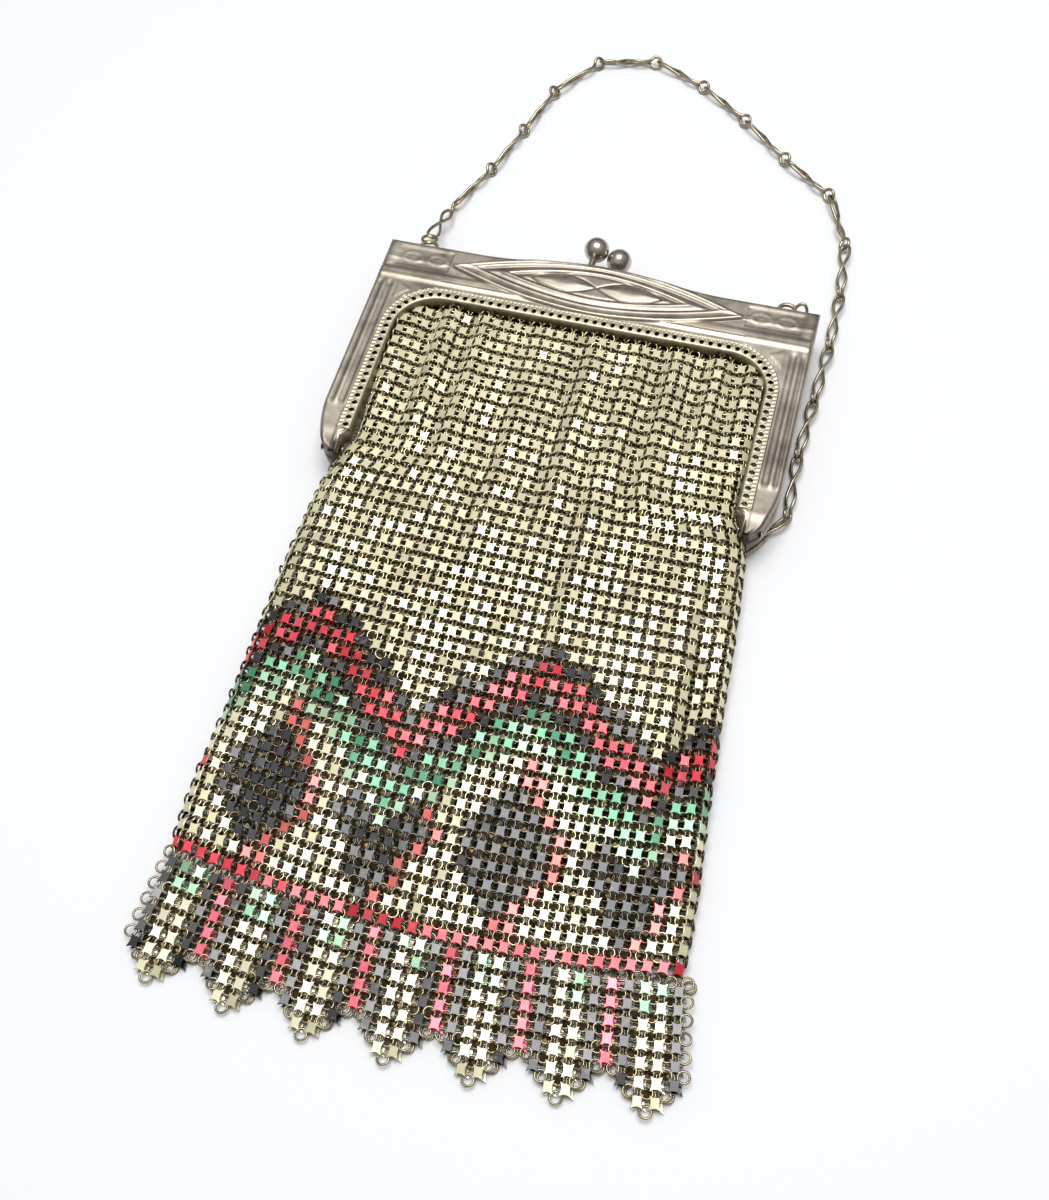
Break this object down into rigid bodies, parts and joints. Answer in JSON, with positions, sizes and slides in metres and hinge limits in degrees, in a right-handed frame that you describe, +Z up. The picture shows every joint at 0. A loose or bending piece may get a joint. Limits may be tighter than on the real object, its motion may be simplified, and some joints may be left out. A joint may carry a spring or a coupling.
{
  "type": "metal mesh purse",
  "caption": "Flat metal mesh purse with a pressed metal frame, kiss clasp balls, pointed mesh fringe and a wire link chain, lying on its back.",
  "frame": {"origin": "on the table under the middle of the bag's flat back", "axes": "+X to the right of the purse, +Y from the fringe towards the chain, +Z up, out of the front"},
  "size_m": [0.1219, 0.2986, 0.0141],
  "materials": {
    "silver": "worn antique silver plate",
    "nickel": "dark polished nickel",
    "enamel": "glossy cream enamel with coloured pattern",
    "wire": "dull nickel wire"
  },
  "bodies": {
    "root": {"frame_front": "silver", "frame_back": "silver", "clasp_ball_front": "nickel", "clasp_ball_back": "nickel", "hinge_rivet_left": "nickel", "hinge_rivet_right": "nickel", "mesh_bag": "enamel", "fringe_front": "enamel", "fringe_back": "enamel", "chain": "wire"}
  },
  "joints": []
}
